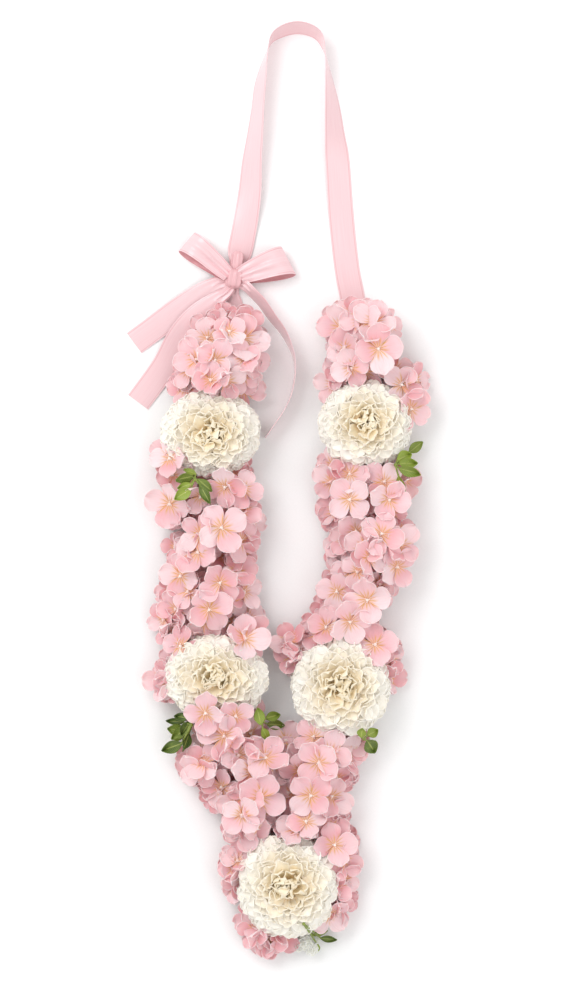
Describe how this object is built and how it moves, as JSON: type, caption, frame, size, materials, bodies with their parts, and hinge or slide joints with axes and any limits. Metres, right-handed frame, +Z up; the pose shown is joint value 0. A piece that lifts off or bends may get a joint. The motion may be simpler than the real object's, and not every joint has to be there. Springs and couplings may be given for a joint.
{
  "type": "fresh flower lei",
  "caption": "Garland of pink hydrangea sprigs and ivory blooms on a satin neck ribbon with a side bow, laid flat.",
  "frame": {"origin": "middle of the whole lei's outline, on the plane it lies on", "axes": "+Y along the lei towards the neck ribbon, +Z up, away from the table, out of the flowers' faces"},
  "size_m": [0.1924, 0.601, 0.0399],
  "materials": {
    "satin_ribbon": "blush double-faced satin, soft sheen",
    "ivory_petals": "matt ivory petals, creamy yellow at the heart",
    "pink_petals": "matt pink petals with pale rims",
    "green_leaves": "olive and dark green leaves, slightly waxy",
    "filler_petals": "small white petals over green"
  },
  "bodies": {
    "root": {"bow_knot": "satin_ribbon", "bow_left_loop": "satin_ribbon", "bow_lower_left_tail": "satin_ribbon", "bow_right_loop": "satin_ribbon", "bow_right_tail": "satin_ribbon", "bow_upper_left_tail": "satin_ribbon", "collar_bottom_sprig": "pink_petals", "collar_left_sprig": "pink_petals", "collar_right_sprig_1": "pink_petals", "collar_right_sprig_2": "pink_petals", "collar_top_sprig": "pink_petals", "filler_flower_sprig": "filler_petals", "greenery_left_lower": "green_leaves", "greenery_left_lower_inner": "green_leaves", "greenery_left_upper": "green_leaves", "greenery_right_lower": "green_leaves", "greenery_right_upper": "green_leaves", "ivory_bloom_left_lower": "ivory_petals", "ivory_bloom_left_upper": "ivory_petals", "ivory_bloom_pendant": "ivory_petals", "ivory_bloom_right_lower": "ivory_petals", "ivory_bloom_right_upper": "ivory_petals", "left_bloom_side_sprig": "pink_petals", "left_middle_sprig_1": "pink_petals", "left_middle_sprig_2": "pink_petals", "left_middle_sprig_3": "pink_petals", "left_middle_sprig_4": "pink_petals", "left_middle_sprig_5": "pink_petals", "left_of_right_bloom_sprig": "pink_petals", "left_top_sprig_1": "pink_petals", "left_top_sprig_2": "pink_petals", "neck_ribbon": "satin_ribbon", "pendant_centre_sprig": "pink_petals", "pendant_left_sprig_1": "pink_petals", "pendant_left_sprig_2": "pink_petals", "pendant_left_sprig_3": "pink_petals", "pendant_left_sprig_4": "pink_petals", "pendant_right_sprig_1": "pink_petals", "pendant_right_sprig_2": "pink_petals", "pendant_right_sprig_3": "pink_petals", "right_bloom_side_sprig": "pink_petals", "right_middle_sprig_1": "pink_petals", "right_middle_sprig_2": "pink_petals", "right_middle_sprig_3": "pink_petals", "right_middle_sprig_4": "pink_petals", "right_middle_sprig_5": "pink_petals", "right_of_right_bloom_sprig": "pink_petals", "right_top_sprig_1": "pink_petals", "right_top_sprig_2": "pink_petals"}
  },
  "joints": []
}
